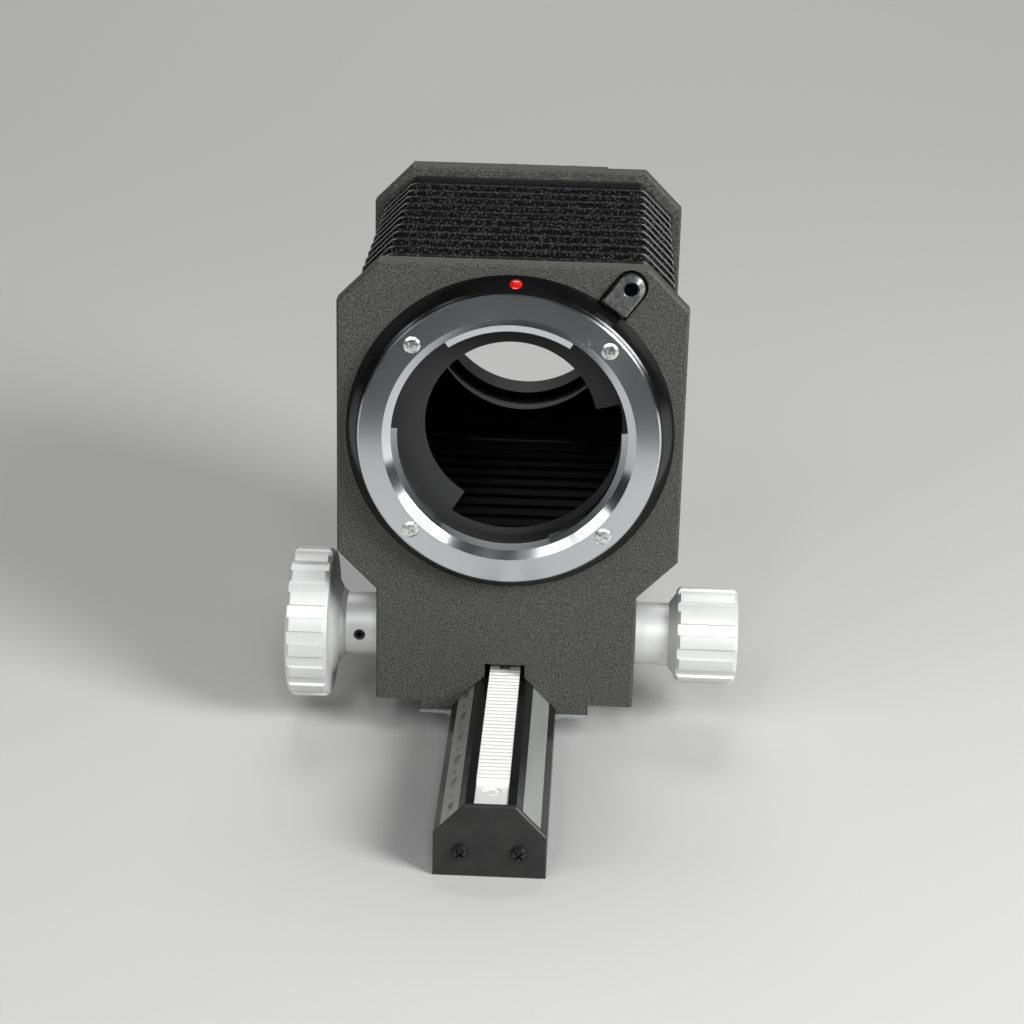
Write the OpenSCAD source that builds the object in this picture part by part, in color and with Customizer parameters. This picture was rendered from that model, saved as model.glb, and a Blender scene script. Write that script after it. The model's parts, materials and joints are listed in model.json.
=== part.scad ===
// Macro bellows unit: a lens standard that racks along a single rail, joined by
// a pleated bellows to a fixed camera standard with a rotating bayonet.
// X runs to the right as seen from the lens side, Y towards the camera, Z up.
// The origin is the mouth of the tripod socket, on the underside. Millimetres.

/* [Rail] */
// Width of the rail
rail_w = 21.6; // [21.2:0.1:22.4]
// Height of the rail's upright sides
rail_side_h = 8.9; // [8.6:0.1:9.3]
// Width of the flat on top of the rail
rail_top_w = 9.8; // [9.2:0.1:10.4]
// Height of the rail
rail_h = 15.1; // [14.7:0.1:15.5]
// Length of rail ahead of the tripod socket
rail_fore = 144; // [143:1:150]
// Length of rail behind the tripod socket
rail_aft = 15.5; // [15:0.5:20]
// Thickness of each end cap
cap_t = 1; // [0.8:0.1:2]
// Depth of the running groove in each side of the rail
side_groove = 0.7; // [0.5:0.05:0.9]
// Width of each scale plate
scale_w = 4.9; // [4.5:0.1:5.2]
// Thickness of each scale plate
scale_t = 0.5; // [0.4:0.05:0.7]

/* [Rack and pinion] */
// Width of the rack
rack_w = 6.3; // [5.8:0.1:6.8]
// Depth of the groove that the rack lies in
rack_groove = 2.6; // [2.4:0.1:3]
// Thickness of the rack below its teeth
rack_t = 2.4; // [2.2:0.1:2.5]
// Plain length at the front end of the rack
rack_plain_fore = 7.1; // [6.8:0.1:9]
// Plain length at the rear end of the rack
rack_plain_aft = 8; // [7:0.5:9]
// Gear module of rack and pinion
gear_module = 0.5; // [0.5:0.01:0.55]
// Number of teeth on the pinion
pinion_teeth = 22; // [21:1:23]
// Face width of the pinion
pinion_w = 6; // [5:0.5:7]
// Radius of the pinion shaft
shaft_r = 2.5; // [2.2:0.1:2.8]

/* [Standards] */
// Height of the lens axis above the underside
lens_z = 69.6; // [69:0.2:72]
// Width of each standard
frame_w = 70; // [69:0.5:72]
// Height of each standard above the lens axis
frame_rise = 35.1; // [34.6:0.1:36]
// Size of the cut corners
frame_corner = 8.4; // [7.5:0.1:9]
// Depth of the upright sides below the lens axis
frame_drop = 26.7; // [26:0.1:28]
// Width of the saddle and of the foot
foot_w = 53.8; // [52:0.2:55]
// Thickness of the front plate
front_plate_t = 4; // [3.6:0.1:5]
// Thickness of the rear plate
rear_plate_t = 4; // [3.6:0.1:4.6]
// Bevel round the face of each standard
frame_bevel = 0.5; // [0.3:0.1:0.8]
// Front face of the lens standard, ahead of the tripod socket
front_face = 88.5; // [86:0.5:90]
// Front face of the rear standard's plate, ahead of the tripod socket
rear_face = 6; // [5:0.5:7]

/* [Saddle and foot] */
// Length of the saddle along the rail
saddle_len = 26; // [24:0.5:28]
// Height of the saddle's underside above the floor
saddle_z = 10.1; // [9.8:0.1:10.6]
// Width of the boss under the saddle
boss_w = 34.8; // [33:0.2:36]
// Height of the boss's underside above the floor
boss_z = 7.9; // [7.6:0.1:8.2]
// Thickness of the gib plates
gib_t = 0.75; // [0.6:0.05:0.9]
// Width of the slot over the rack
slot_w = 8.4; // [8:0.1:9]
// Height of the slot over the rack above the floor
slot_z = 18.8; // [18.4:0.1:19.5]
// Length of the foot ahead of the tripod socket
foot_fore = 18; // [16:0.5:18]
// Height of the foot
foot_h = 24; // [23:0.5:28]
// Radius of the tripod socket's thread, 1/4 inch
tripod_r = 3.175; // [3:0.005:3.2]
// Depth of the tripod socket
tripod_depth = 8; // [7:0.5:9]

/* [Lens mount] */
// Radius of the throat behind the bayonet
throat_r = 23.8; // [23.4:0.1:24]
// Radius inside the bayonet lugs
lug_r = 22.5; // [22:0.1:22.8]
// Outer radius of the chrome bayonet ring
bayonet_r = 30.4; // [30:0.1:31]
// Radius of the black base ring at the plate
base_ring_r = 33.1; // [32.5:0.1:33.6]
// Height of the black base ring
base_ring_h = 3.5; // [3.2:0.1:4]
// Thickness of the chrome flange
bayonet_t = 1.2; // [1:0.1:1.5]
// Radius of the circle of bayonet screws
bayonet_screw_pcr = 27.6; // [27.2:0.1:28]
// Radius of the opening in the light baffle
baffle_r = 17.6; // [17:0.1:19]

/* [Lens release] */
// Angle of the release tongue, up from the right
tongue_angle = 53.5; // [50:0.5:56]
// Width of the release tongue
tongue_w = 5.5; // [5:0.1:6]
// Distance from the lens axis to the release button
tongue_reach = 39; // [38.5:0.1:39.4]
// Height of the tongue above the plate
tongue_h = 2; // [1.8:0.1:2.2]
// Travel of the release
tongue_travel = 1.2; // [0.8:0.1:1.3]

/* [Camera mount] */
// Wall of the camera bayonet's tube
camera_tube_wall = 1.45; // [1.3:0.05:1.8]
// Outside radius of the camera bayonet's tube
camera_tube_r = 22.35; // [22:0.05:22.5]
// Outer radius of the camera bayonet's flange
camera_flange_r = 27.5; // [27:0.1:28]
// Outer radius of the turntable
turntable_r = 29.5; // [29:0.1:29.8]
// Height of the turntable behind the rear plate
turntable_h = 8; // [7:0.2:8.6]
// Length of the bayonet behind its flange
camera_tube_len = 4.6; // [4:0.1:5]

/* [Knobs] */
// Radius of the focusing knob
focus_knob_r = 16; // [15.5:0.1:17]
// Length of the focusing knob's fluted rim
focus_rim_len = 8.7; // [8:0.1:10]
// Number of flutes on the focusing knob
focus_flutes = 18; // [16:1:20]
// Radius of the clamping knob
lock_knob_r = 10.2; // [10:0.1:11]
// Length of the clamping knob's fluted rim
lock_rim_len = 12.7; // [11:0.1:14]
// Number of flutes on the clamping knob
lock_flutes = 12; // [10:1:14]
// Radius of both knob necks
neck_r = 6.6; // [6.2:0.1:7]
// Length of the focusing knob's neck
focus_neck_len = 7.8; // [7:0.1:9]
// Length of the clamping knob's neck
lock_neck_len = 7.2; // [6.5:0.1:8]

/* [Bellows] */
// Half the width of the bellows over its folds
bellows_half = 32.6; // [32:0.1:33]
// Cut corner of the bellows over its folds
bellows_corner = 6.5; // [6:0.1:7.5]
// Depth of the folds
pleat_depth = 5.4; // [4.8:0.1:5.5]
// Number of folds
pleats = 12; // [10:1:14]
// Thickness of the bellows leather
bellows_wall = 0.8; // [0.6:0.1:1]
// Thickness of the front bellows frame
front_frame_t = 2; // [1.8:0.1:2.5]
// Thickness of the rear bellows frame
rear_frame_t = 2.5; // [2.4:0.1:3]

/* [Fits] */
// Play between pieces that are fastened together
seat_play = 0.05; // [0.03:0.01:0.08]
// Play between pieces that slide or turn on each other
run_play = 0.1; // [0.06:0.01:0.15]
// Free gap between a moving piece and what it passes
free_gap = 0.4; // [0.3:0.05:0.5]

/* [Hidden] */
$fn = 72;
sink = 0.01;              // overlap of shapes that are joined or cut
recess_w = 0.45;          // arms of a cross recess

front_y = -front_face;                       // face of the lens standard
front_back_y = front_y + front_plate_t;
rear_y = -rear_face;                         // front of the rear plate
rear_back_y = rear_y + rear_plate_t;
bellows_y0 = front_back_y + front_frame_t;
bellows_y1 = rear_y - rear_frame_t;
side_z = lens_z - frame_drop;                // lower end of a standard's sides
waist_z = side_z - (frame_w - foot_w) / 2;   // where the narrow part starts

// rail section
rail_hw = rail_w / 2;
rail_top_hw = rail_top_w / 2;
slant_run = rail_hw - rail_top_hw;
slant_rise = rail_h - rail_side_h;
slant_len = sqrt(slant_run * slant_run + slant_rise * slant_rise);
slant_angle = atan2(slant_rise, slant_run);
groove_z = boss_z - gib_t;                   // the gib plates run at this height

// rack and pinion
tooth_pitch = PI * gear_module;
tooth_h = 2.25 * gear_module;
pinion_r = gear_module * pinion_teeth / 2;
rack_top_z = rail_h - rack_groove + rack_t;
rack_screw_sunk = 0.35;                      // keeps the screws' heads out of the pinion's way
mesh_play = 0.05;
pitch_z = rack_top_z + tooth_h - gear_module;
shaft_z = pitch_z + pinion_r + mesh_play;
shaft_y = front_y + 14;
rack_y0 = -rail_fore;
rack_y1 = -foot_fore - 2;
saddle_hw = foot_w / 2;
flank_in = 0.15;                             // blocks are this much narrower than the plates, each side
knob_x = saddle_hw - flank_in + run_play;    // both necks start here
bush_r = 4.55;
lock_bush_r = 5.6;
pinion_bay = pinion_w / 2 + 2;               // half width of the pinion's bay
brake_x = 14.8;                              // brake disc on the shaft's right end
brake_t = 2;
stud_r = 3;
stud_tip_x = brake_x + brake_t + run_play;
focus_cone = 2.55;                           // length of the focusing knob's cone
lock_cone = 1.7;                             // length of the clamping knob's cone
set_screw_in = 4.25;                         // the set screw's place along the neck

// lens mount
sleeve_r = throat_r + 1.1;
boss_r = throat_r + 2.4;                     // boss behind the front plate
screw_r = 0.9;                               // small machine screws
mount_head_r = 1.7;
cap_head_r = 1.6;
cap_bevel = 0.3;                             // round the end caps' outer faces
cap_screw_x = 5.6;
cap_screw_z = 5.3;
base_top_r = bayonet_r + 0.5;                // upper end of the base ring's slope
base_run = base_ring_r - base_top_r;
base_rise = base_ring_h - 0.3;
bayonet_bevel_r = throat_r + 1.65;
dot_r = 1.25;
index_angle = 88.9;
arm_x = sleeve_r;                            // the tongue's hidden arm runs from here
arm_top = 0.6;                               // and this far below the plate's face
tongue_sunk = arm_top + 0.8;
root_x = base_ring_r + 0.9;                  // the part of the tongue in sight starts here
pocket_depth = tongue_sunk + tongue_travel + 0.05;
spring_x = tongue_reach - 2.9;
spring_r = 1.4;
lock_pin_x = bayonet_bevel_r + 0.1;
lock_pin_r = 0.45;

// camera mount, measured behind the rear plate
camera_bore_r = camera_tube_r - camera_tube_wall;
hub_r = 27.35;
retainer_t = 1;
retainer_r = hub_r + 1.25;
camera_flange_t = 1.6;
camera_lug_t = 1.6;
cover_x0 = -26.9;
cover_x1 = 17.9;
cover_rise = frame_rise - 0.8;
cover_t = 5;
cover_base = turntable_r + 0.5;              // the cover starts this far above the axis
lever_x = -4;
lever_rise = cover_rise - 2.3;
lever_len = 14;
lever_r = 2.1;

// ---------- placing ----------
module bar_y(y0, y1) {
    translate([0, y1, 0]) rotate([90, 0, 0]) linear_extrude(y1 - y0) children();
}
module bar_x(x0, x1) {
    translate([x0, 0, 0]) rotate([90, 0, 90]) linear_extrude(x1 - x0) children();
}
// z runs out of the lens side, x right and y up
module lens_side(y = front_y) {
    translate([0, y, lens_z]) rotate([90, 0, 0]) children();
}
// z runs out of the camera side
module camera_side(y = rear_back_y) {
    translate([0, y, lens_z]) rotate([-90, 0, 0]) children();
}
module left_side() {
    translate([0, shaft_y, shaft_z]) rotate([0, -90, 0]) children();
}
module right_side() {
    translate([0, shaft_y, shaft_z]) rotate([0, 90, 0]) children();
}
module rod(r, z0, z1) {
    translate([0, 0, z0]) cylinder(r = r, h = z1 - z0);
}
module polar(r, a) {
    rotate([0, 0, a]) translate([r, 0, 0]) children();
}
module both_sides() {
    children();
    mirror([1, 0, 0]) children();
}

// ---------- outlines ----------
function octagon(half, corner) = [
    [corner - half, half], [half - corner, half], [half, half - corner],
    [half, corner - half], [half - corner, -half], [corner - half, -half],
    [-half, corner - half], [-half, half - corner]];

// The rail's section, grown by gap on every face
function rail_outline(gap) =
    let (hw = rail_hw + gap,
         z1 = rail_side_h + gap * (slant_len - slant_rise) / slant_run,
         top = rail_h + gap,
         x1 = rail_top_hw + gap * (slant_len - slant_run) / slant_rise)
    [[-hw, -gap], [hw, -gap], [hw, z1], [x1, top], [-x1, top], [-hw, z1]];

// A spur gear's outline: involute flanks, thinned for backlash
function involute(a) = tan(a) * 180 / PI - a;
function tooth_half(r, base, thin) =
    90 / pinion_teeth - thin + involute(20) - involute(acos(min(1, base / r)));
function gear_outline(teeth, backlash) =
    let (rp = gear_module * teeth / 2, base = rp * cos(20),
         ra = rp + gear_module * 0.95, rf = rp - 1.25 * gear_module,
         thin = backlash / rp * 180 / PI,
         steps = [for (i = [0:4]) base + (ra - base) * i / 4])
    [for (k = [0:teeth - 1])
        let (a = 360 / teeth * k)
        each concat(
            [[rf, a - tooth_half(base, base, thin)]],
            [for (r = steps) [r, a - tooth_half(r, base, thin)]],
            [for (i = [4:-1:0]) [steps[i], a + tooth_half(steps[i], base, thin)]],
            [[rf, a + tooth_half(base, base, thin)]])];
function to_xy(p) = [for (q = p) [q[0] * cos(q[1]), q[0] * sin(q[1])]];

// The rack seen from its side; a tooth space lies under the pinion at rest
function rack_tooth(y, backlash) =
    let (half = tooth_pitch / 4 - backlash, lean = tan(20),
         foot = half + (tooth_h - gear_module) * lean, tip = half - gear_module * lean,
         top = rack_top_z + tooth_h)
    [[y - foot, rack_top_z], [y - tip, top], [y + tip, top], [y + foot, rack_top_z]];
function rack_teeth_y() =
    let (first = ceil((rack_y0 + rack_plain_fore - shaft_y) / tooth_pitch),
         last = floor((rack_y1 - rack_plain_aft - shaft_y) / tooth_pitch))
    [for (k = [first:last]) shaft_y + (k + 0.5) * tooth_pitch];

// ---------- screws ----------
module cross_recess(r, depth) {
    for (a = [0, 90]) rotate([0, 0, a])
        translate([-r, -recess_w / 2, -depth]) cube([2 * r, recess_w, depth + 1]);
}
// Raised countersunk head: its rim lies at z 0
module csk_screw(head_r, shank_r, len) {
    difference() {
        rotate_extrude() polygon([[0, -len], [shank_r, -len], [shank_r, shank_r - head_r],
            [head_r, 0], [head_r * 0.7, 0.25], [0, 0.35]]);
        cross_recess(head_r * 0.6, 0.35);
    }
}
module csk_hole(head_r, shank_r, len) {
    rotate_extrude() polygon([[0, -len], [shank_r, -len], [shank_r, shank_r - head_r],
        [head_r, 0], [head_r, 1], [0, 1]]);
}
// Pan head standing on z 0
module pan_screw(head_r, shank_r, len) {
    difference() {
        rotate_extrude() polygon([[0, -len], [shank_r, -len], [shank_r, 0], [head_r, 0],
            [head_r, 0.5], [head_r * 0.8, 0.95], [head_r * 0.45, 1.15], [0, 1.2]]);
        rotate([0, 0, 45]) translate([0, 0, 1.15]) cross_recess(head_r * 0.62, 0.7);
    }
}

// ---------- rail and what is fixed to it ----------
module rail() {
    color("#17181a") difference() {
        bar_y(-rail_fore, rail_aft) polygon(rail_outline(0));
        translate([-rack_w / 2 - seat_play, rack_y0 - 1, rail_h - rack_groove])
            cube([rack_w + 2 * seat_play, rack_y1 - rack_y0 + 1, rack_groove + 1]);
        both_sides() scale_seat(seat_play);
        both_sides() translate([rail_hw - side_groove, -rail_fore - 1, groove_z - 0.25])
            cube([side_groove + 1, rail_fore - foot_fore + 1, gib_t + 0.5]);
        for (x = [-cap_screw_x, cap_screw_x]) {
            translate([x, -rail_fore - 1, cap_screw_z]) rotate([-90, 0, 0])
                cylinder(r = 1.25, h = 9);
            translate([x, rail_aft + 1, cap_screw_z]) rotate([90, 0, 0])
                cylinder(r = 1.25, h = 9);
        }
        for (y = rack_screw_y()) translate([0, y, rail_h - rack_groove - 4])
            cylinder(r = screw_r + seat_play, h = 5);
        translate([0, 0, -1]) cylinder(r = bush_outer_r + seat_play, h = bush_h + 1.1);
        for (y = foot_screw_y()) translate([0, y, 0]) {
            translate([0, 0, -1]) cylinder(r = 2.8, h = 3.5);
            cylinder(r = 1.5 + seat_play, h = rail_h + 1);
        }
    }
}
bush_outer_r = 5;
bush_h = tripod_depth + 1;
function foot_screw_y() = [-10, 10];
function rack_screw_y() = [rack_y0 + 5.5, (rack_y0 + rack_y1) / 2, rack_y1 - 4];

// A slot for a scale plate, or with no play the plate itself
module scale_seat(play) {
    open = (play > 0) ? 1 : 0;
    translate([rail_hw, 0, rail_side_h]) rotate([0, slant_angle - 180, 0])
        translate([(slant_len - scale_w) / 2 - play, -rail_fore - open, -open])
            cube([scale_w + 2 * play, rail_fore - foot_fore + open, scale_t + open]);
}
module scale_plate_right() { color("#8f9290") scale_seat(0); }
module scale_plate_left() { color("#8f9290") mirror([1, 0, 0]) scale_seat(0); }

module rack() {
    color("#d9dad8") difference() {
        union() {
            translate([-rack_w / 2, rack_y0, rail_h - rack_groove])
                cube([rack_w, rack_y1 - rack_y0, rack_t]);
            bar_x(-rack_w / 2, rack_w / 2) polygon(concat(
                [for (y = rack_teeth_y()) each rack_tooth(y, 0.03)],
                [[rack_y1 - rack_plain_aft, rack_top_z - 1],
                 [rack_y0 + rack_plain_fore, rack_top_z - 1]]));
        }
        for (y = rack_screw_y()) translate([0, y, rack_top_z - rack_screw_sunk]) {
            csk_hole(1.8, screw_r + seat_play, rack_t + 1);
            cylinder(r = 1.8, h = 3);
        }
    }
}
module rack_screws() {
    color("#c8c9c8") for (y = rack_screw_y()) translate([0, y, rack_top_z - rack_screw_sunk])
        csk_screw(1.75, screw_r, rack_t + 2.5);
}

// End cap with the rail's outline, in front of y 0
module end_cap() {
    outline = [for (i = [5:-1:0]) rail_outline(0)[i]];
    difference() {
        bar_y(-cap_t, 0) polygon(outline);
        front_bevels(outline, -cap_t, 6, cap_bevel);
        for (x = [-cap_screw_x, cap_screw_x]) translate([x, 0, cap_screw_z])
            rotate([90, 0, 0]) cylinder(r = 1.25, h = 4 * cap_t, center = true);
    }
}
module front_end_cap() {
    color("#141416") translate([0, -rail_fore, 0]) end_cap();
}
module rear_end_cap() {
    color("#141416") translate([0, rail_aft, 0]) mirror([0, 1, 0]) end_cap();
}
module end_cap_screws() {
    color("#1b1b1d") for (x = [-cap_screw_x, cap_screw_x]) {
        translate([x, -rail_fore - cap_t, cap_screw_z]) rotate([90, 0, 0])
            pan_screw(cap_head_r, 1.2, 7);
        translate([x, rail_aft + cap_t, cap_screw_z]) rotate([-90, 0, 0])
            pan_screw(cap_head_r, 1.2, 7);
    }
}
module tripod_bush() {
    color("#b9b6ad") difference() {
        cylinder(r = bush_outer_r, h = bush_h);
        translate([0, 0, -1]) cylinder(r = tripod_r, h = tripod_depth + 1);
    }
}

// ---------- rear standard ----------
// Cuts the front edges of a prism with a convex clockwise outline, apart from its
// edge number open
module front_bevels(p, y, open, size) {
    for (i = [0:len(p) - 1]) if (i != open) {
        d = p[(i + 1) % len(p)] - p[i];
        translate([p[i][0], y, p[i][1]]) rotate([0, -atan2(d[1], d[0]), 0])
            rotate([-45, 0, 0]) translate([-1, -2, -2])
                cube([norm(d) + 2, 2 + size / sqrt(2), 4]);
    }
}
// A standard's plate: its wide part and its narrow lower end run into each other
module bevelled_plate(y0, y1, bottom) {
    top = lens_z + frame_rise;
    lap = 3;
    wide = [[-frame_w / 2, side_z], [-frame_w / 2, top - frame_corner],
        [frame_corner - frame_w / 2, top], [frame_w / 2 - frame_corner, top],
        [frame_w / 2, top - frame_corner], [frame_w / 2, side_z],
        [saddle_hw - lap, waist_z - lap], [lap - saddle_hw, waist_z - lap]];
    narrow = [[-saddle_hw, bottom], [-saddle_hw, waist_z + lap],
        [saddle_hw, waist_z + lap], [saddle_hw, bottom]];
    difference() {
        bar_y(y0, y1) polygon(wide);
        front_bevels(wide, y0, 6, frame_bevel);
    }
    difference() {
        bar_y(y0, y1) polygon(narrow);
        front_bevels(narrow, y0, 3, frame_bevel);
    }
}
// Section of the block behind a plate, from its underside up to its cut shoulders
function block_outline(bottom) =
    let (hw = saddle_hw - flank_in)
    [[-hw, bottom], [hw, bottom], [hw, waist_z - 3], [hw - 3, waist_z],
     [3 - hw, waist_z], [-hw, waist_z - 3]];
module rear_standard() {
    color("#2c2d2e") difference() {
        union() {
            bevelled_plate(rear_y, rear_back_y, 0);
            // column and foot
            bar_y(rear_y + 1, rear_back_y + 4) polygon(block_outline(0));
            bar_x(flank_in - saddle_hw, saddle_hw - flank_in) polygon([[-foot_fore, 0], [rail_aft, 0],
                [rail_aft, foot_h - 6], [rail_aft - 6, foot_h], [6 - foot_fore, foot_h],
                [-foot_fore, foot_h - 6]]);
        }
        bar_y(-foot_fore - 1, rail_aft + 1) polygon(rail_outline(seat_play));
        for (y = foot_screw_y()) translate([0, y, rail_h]) cylinder(r = 1.55, h = 6.5);
        camera_side() rod(hub_r + run_play, -rear_plate_t - 1, 5);
        for (x = cover_screw_x()) translate([x, rear_back_y + 1, lens_z + cover_screw_rise])
            rotate([90, 0, 0]) cylinder(r = 0.85, h = 4);
    }
}
module foot_screws() {
    color("#1b1b1d") for (y = foot_screw_y()) translate([0, y, 2.5]) difference() {
        union() {
            translate([0, 0, -2]) cylinder(r = 2.7, h = 2);
            translate([0, 0, -sink]) cylinder(r = 1.5, h = rail_h + 3);
        }
        translate([0, 0, -1.2]) rotate([180, 0, 0]) cylinder(r = 1.3, h = 2, $fn = 6);
    }
}
module bellows_rear_frame() {
    outline = octagon(bellows_half + 0.4, bellows_corner + 1.1);
    color("#1d1e1f") difference() {
        translate([0, 0, lens_z]) difference() {
            bar_y(bellows_y1, rear_y) polygon(outline);
            front_bevels(outline, bellows_y1, 8, 0.6);
        }
        camera_side(rear_y) {
            rod(camera_bore_r + 0.4, -rear_frame_t - 1, 1);
            rod(retainer_r + 0.6, -retainer_t - 0.3, 1);
        }
    }
}

// Cover over the brake cam of the rotating mount, with the cam's bay
cover_screw_rise = cover_rise - 2.1;
function cover_screw_x() = [cover_x0 + 3.5, cover_x1 - 3.5];
module lock_cover() {
    color("#2c2d2e") difference() {
        translate([cover_x0, rear_back_y, lens_z + cover_base])
            cube([cover_x1 - cover_x0, cover_t, cover_rise - cover_base]);
        translate([lever_x, 0, lens_z + lever_rise]) rotate([-90, 0, 0]) {
            rod(2.7, rear_back_y + 0.6, rear_back_y + cover_t - 1);
            rod(1.4 + seat_play, rear_back_y - 1, rear_back_y + cover_t + 1);
        }
        for (x = cover_screw_x())
            translate([x, rear_back_y + cover_t, lens_z + cover_screw_rise])
                rotate([-90, 0, 0]) csk_hole(1.3, 0.85, cover_t + 1);
    }
}
module lock_cover_screws() {
    color("#1b1b1d") for (x = cover_screw_x())
        translate([x, rear_back_y + cover_t, lens_z + cover_screw_rise])
            rotate([-90, 0, 0]) csk_screw(1.25, 0.8, cover_t + 2);
}
module mount_lock_lever() {
    color("#b8babb") translate([lever_x, 0, lens_z + lever_rise]) rotate([-90, 0, 0]) {
        rod(1.4, rear_back_y + 0.2, rear_back_y + cover_t + 1);
        // brake cam, clear of the turntable's rim at both ends of its swing
        polar(0.9, 150) rod(1.4, rear_back_y + 0.8, rear_back_y + cover_t - 1.2);
        rod(lever_r, rear_back_y + cover_t + 0.15, rear_back_y + cover_t + 1.8);
        translate([0, -1.3, rear_back_y + cover_t + 0.15]) cube([lever_len, 2.6, 1.65]);
        translate([lever_len, 0, 0])
            rod(1.9, rear_back_y + cover_t + 0.15, rear_back_y + cover_t + 2.6);
    }
}

// ---------- bellows ----------
// Rings of the pleated tube, from the front frame to the rear frame
function bellows_ring(i, grow) =
    let (fold = (i % 2 == 1) ? 0 : pleat_depth,
         half = bellows_half - fold - grow,
         corner = bellows_corner - (fold + grow) * (2 - sqrt(2)),
         y = bellows_y0 + (bellows_y1 - bellows_y0) * i / (2 * pleats))
    [for (p = octagon(half, corner)) [p[0], y, p[1] + lens_z]];
module bellows() {
    n = 2 * pleats + 1;
    outer = [for (i = [0:n - 1]) each bellows_ring(i, 0)];
    inner = [for (i = [0:n - 1]) each bellows_ring(i, bellows_wall)];
    base = len(outer);
    color("#161617") polyhedron(concat(outer, inner), concat(
        [for (i = [0:n - 2], k = [0:7]) let (a = 8 * i + k, b = 8 * i + (k + 1) % 8)
            each [[a, b, b + 8], [a, b + 8, a + 8]]],
        [for (i = [0:n - 2], k = [0:7])
            let (a = base + 8 * i + k, b = base + 8 * i + (k + 1) % 8)
            each [[b, a, b + 8], [a, a + 8, b + 8]]],
        [for (k = [0:7]) let (m = (k + 1) % 8)
            each [[m, k, base + k], [m, base + k, base + m]]],
        [for (k = [0:7]) let (m = (k + 1) % 8, e = 8 * (n - 1))
            each [[e + k, e + m, base + e + k], [e + m, base + e + m, base + e + k]]]));
}
module bellows_front_frame() {
    color("#1d1e1f") difference() {
        translate([0, 0, lens_z]) bar_y(front_back_y, bellows_y0)
            polygon(octagon(bellows_half - 1.1, bellows_corner));
        lens_side(bellows_y0) rod(boss_r + 0.2, -1, front_frame_t + 1);
    }
}

// ---------- lens standard ----------
module saddle_channel() {
    gap = run_play;
    hw = rail_hw + gap;
    z1 = rail_side_h + gap * (slant_len - slant_rise) / slant_run;
    z2 = rail_side_h + (rail_hw + gap * slant_len / slant_rise - slot_w / 2)
        * slant_rise / slant_run;
    polygon([[-hw, 0], [hw, 0], [hw, z1], [slot_w / 2, z2], [slot_w / 2, slot_z],
        [-slot_w / 2, slot_z], [-slot_w / 2, z2], [-hw, z1]]);
}
module front_standard() {
    color("#2c2d2e") difference() {
        union() {
            bevelled_plate(front_y, front_back_y, saddle_z);
            bar_y(front_y + 1, front_y + saddle_len) polygon(block_outline(saddle_z));
            bar_y(front_y, front_y + saddle_len) translate([-boss_w / 2, boss_z])
                square([boss_w, saddle_z - boss_z + 1]);
            lens_side() rod(boss_r, -front_plate_t - front_frame_t, -front_plate_t + sink);
        }
        bar_y(front_y - 1, front_y + saddle_len + 1) saddle_channel();
        // throat, with a seat for the bayonet's sleeve
        lens_side() {
            rod(throat_r, -front_plate_t - front_frame_t - 1, 1);
            rod(sleeve_r + seat_play, -0.5, 1);
            for (a = [45:90:315]) polar(bayonet_screw_pcr, a) rod(screw_r + seat_play, -3.4, 1);
            for (a = baffle_screw_angles()) polar(baffle_screw_r, a)
                rod(0.65, -front_plate_t - front_frame_t - 1, -front_plate_t);
            rotate([0, 0, tongue_angle]) {
                tongue_plan(arm_x - 0.3, 0.7, -pocket_depth, 1);
                translate([spring_x, 0, 0])
                    rod(spring_r + 0.15, -front_plate_t + 0.6, 0);
            }
        }
        // bay for the pinion, and the shaft's bores
        translate([-pinion_bay, shaft_y - pinion_r - 1.2, slot_z - 1])
            cube([2 * pinion_bay, 2 * (pinion_r + 1.2), shaft_z + pinion_r + 2.2 - slot_z]);
        left_side() rod(bush_r + seat_play, pinion_bay - sink, saddle_hw + 1);
        right_side() rod(lock_bush_r + seat_play, pinion_bay - sink, saddle_hw + 1);
        both_sides() for (y = gib_screw_y()) translate([gib_screw_x, y, boss_z - 1])
            cylinder(r = screw_r + seat_play, h = 6);
    }
}
gib_screw_x = (rail_hw + boss_w / 2) / 2 + 0.6;
function gib_screw_y() = [front_y + 5, front_y + saddle_len - 5];
baffle_screw_r = throat_r + 1.2;
lip_h = 0.6;                                 // the gib plates' turned-down inner lips
function baffle_screw_angles() = [35, 145, 270];

// Plates under the boss whose lips run in the rail's side grooves
module gib_plates() {
    color("#d0d2d2") both_sides() difference() {
        bar_y(front_y, front_y + saddle_len) polygon([
            [rail_hw - side_groove + 0.2, groove_z], [rail_hw + run_play, groove_z],
            [rail_hw + run_play, groove_z - lip_h], [rail_hw + 0.6, groove_z - lip_h],
            [rail_hw + 1.3, groove_z], [boss_w / 2 + 0.2, groove_z],
            [boss_w / 2 + 0.2, boss_z], [rail_hw - side_groove + 0.2, boss_z]]);
        for (y = gib_screw_y()) translate([gib_screw_x, y, groove_z])
            rotate([180, 0, 0]) csk_hole(1.5, screw_r + seat_play, 2);
    }
}
module gib_screws() {
    color("#9b9d9e") both_sides() for (y = gib_screw_y())
        translate([gib_screw_x, y, groove_z]) rotate([180, 0, 0])
            csk_screw(1.45, screw_r, 5);
}
module shaft_bushes() {
    color("#a8925a") {
        left_side() difference() {
            rod(bush_r, pinion_bay + 0.2, saddle_hw - 0.2);
            rod(shaft_r + run_play / 2, 0, 40);
        }
        right_side() difference() {
            rod(lock_bush_r, pinion_bay + 0.2, brake_x - run_play);
            rod(shaft_r + run_play / 2, 0, 40);
        }
    }
}
module lock_bush() {
    color("#a8925a") right_side() difference() {
        rod(lock_bush_r, brake_x + brake_t + 0.3, saddle_hw - 0.1);
        rod(stud_r + run_play / 2, 0, 40);
    }
}

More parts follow.
